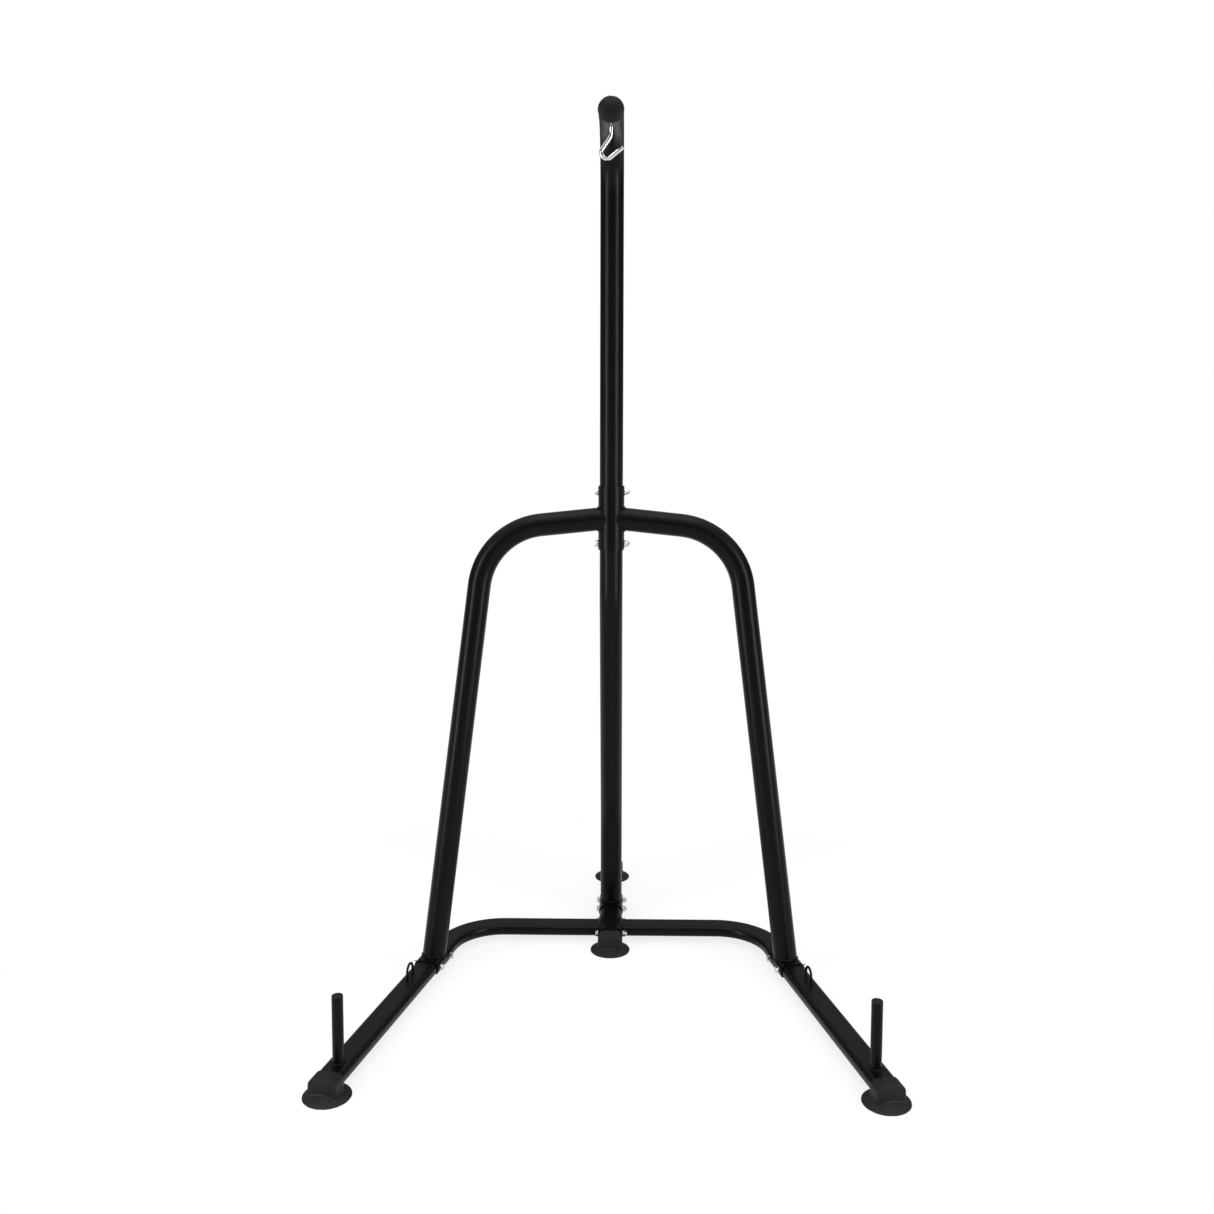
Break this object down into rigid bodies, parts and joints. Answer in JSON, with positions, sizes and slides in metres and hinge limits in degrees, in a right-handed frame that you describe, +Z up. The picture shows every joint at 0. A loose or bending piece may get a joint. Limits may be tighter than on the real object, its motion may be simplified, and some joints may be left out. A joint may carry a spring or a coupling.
{
  "type": "punching bag stand",
  "caption": "Free-standing heavy punching-bag stand: bent tubular mast with an arm and swivelling hook, splayed legs, flat-tube base with weight pegs and rubber feet.",
  "frame": {"origin": "on the floor, at the centre of the stand's plan", "axes": "+Z up, +X to the right as a boxer faces the stand, +Y from the boxer towards the rear foot"},
  "size_m": [1.2854, 1.3154, 2.1797],
  "materials": {
    "powder_coat": "satin black powder coat on steel",
    "zinc": "bright zinc plate",
    "chrome": "polished chrome plate",
    "black_plastic": "fine matt moulded plastic",
    "rubber": "matt black moulded rubber",
    "bare_steel": "plain drawn tube"
  },
  "bodies": {
    "frame": {"arm_end_cap": "black_plastic", "centre_rail": "powder_coat", "clamp_bolts": "zinc", "clamp_nuts": "zinc", "clamp_washers": "zinc", "hook_seat": "zinc", "left_clamp_shell": "powder_coat", "left_front_foot": "rubber", "left_leg": "powder_coat", "left_leg_saddle": "powder_coat", "left_leg_welds": "powder_coat", "left_peg_cap": "black_plastic", "left_saddle_bolts": "zinc", "left_saddle_nuts": "zinc", "left_saddle_washers": "zinc", "left_side_plate": "powder_coat", "left_side_plate_weld": "powder_coat", "left_side_rail": "powder_coat", "left_tie_loop": "powder_coat", "left_tie_loop_welds": "powder_coat", "left_weight_peg": "powder_coat", "lower_mast": "powder_coat", "mast_base_weld": "powder_coat", "mast_saddle": "powder_coat", "mast_saddle_bolts": "zinc", "mast_saddle_nuts": "zinc", "mast_saddle_washers": "zinc", "mast_spigot": "bare_steel", "middle_foot": "rubber", "rear_foot": "rubber", "rear_peg_cap": "black_plastic", "rear_weight_peg": "powder_coat", "right_clamp_shell": "powder_coat", "right_front_foot": "rubber", "right_leg": "powder_coat", "right_leg_saddle": "powder_coat", "right_leg_welds": "powder_coat", "right_peg_cap": "black_plastic", "right_saddle_bolts": "zinc", "right_saddle_nuts": "zinc", "right_saddle_washers": "zinc", "right_side_plate": "powder_coat", "right_side_plate_weld": "powder_coat", "right_side_rail": "powder_coat", "right_tie_loop": "powder_coat", "right_tie_loop_welds": "powder_coat", "right_weight_peg": "powder_coat", "side_plate_bolts": "zinc", "side_plate_nuts": "zinc", "side_plate_washers": "zinc", "upper_mast": "powder_coat"},
    "hook": {"bag_hook": "chrome", "hook_nut": "zinc"}
  },
  "joints": [
    {"name": "hook_swivel", "type": "hinge", "parent": "frame", "child": "hook", "pos_m": [0, -0.122, 2.1365], "axis": [0, 0, 1], "continuous": true}
  ]
}
